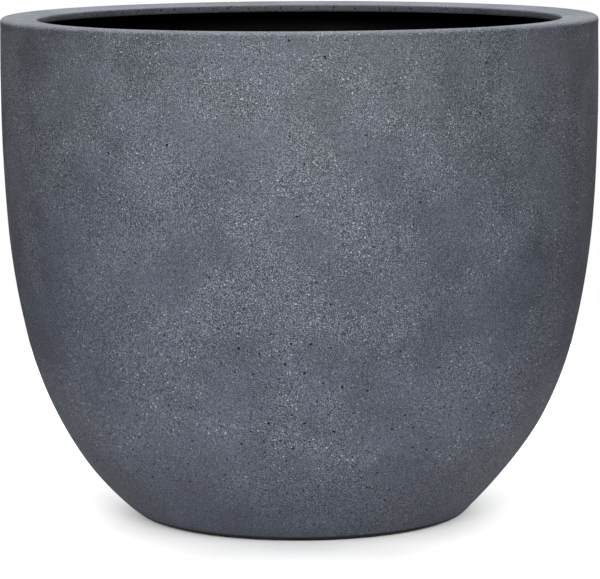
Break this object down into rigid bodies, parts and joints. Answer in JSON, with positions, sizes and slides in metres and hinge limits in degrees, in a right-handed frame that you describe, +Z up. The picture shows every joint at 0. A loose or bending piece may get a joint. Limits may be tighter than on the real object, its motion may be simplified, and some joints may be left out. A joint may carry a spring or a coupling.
{
  "type": "azalea pot",
  "caption": "Round floor planter of dark grey pitted fibre stone with a straight upper wall, rounded belly, turned-in rim, black sealed inside and a drain hole with a pull-out bung.",
  "frame": {"origin": "on the floor, under the middle of the pot", "axes": "+Z up along the pot's axis of revolution; X and Y pass midway between the foot pads"},
  "size_m": [0.4999, 0.5, 0.418],
  "materials": {
    "fibre_stone": "matte",
    "seal_coat": "satin",
    "bung_rubber": "matte",
    "pad_rubber": "matte"
  },
  "bodies": {
    "pot": {"pot_shell": "fibre_stone", "inner_coating": "seal_coat", "foot_pad_1": "pad_rubber", "foot_pad_2": "pad_rubber", "foot_pad_3": "pad_rubber", "foot_pad_4": "pad_rubber"},
    "drain_plug": {"drain_plug": "bung_rubber"}
  },
  "joints": [
    {"name": "drain_plug_pull", "type": "slide", "parent": "pot", "child": "drain_plug", "axis": [0, 0, 1], "range_m": [0, 0.44]}
  ]
}
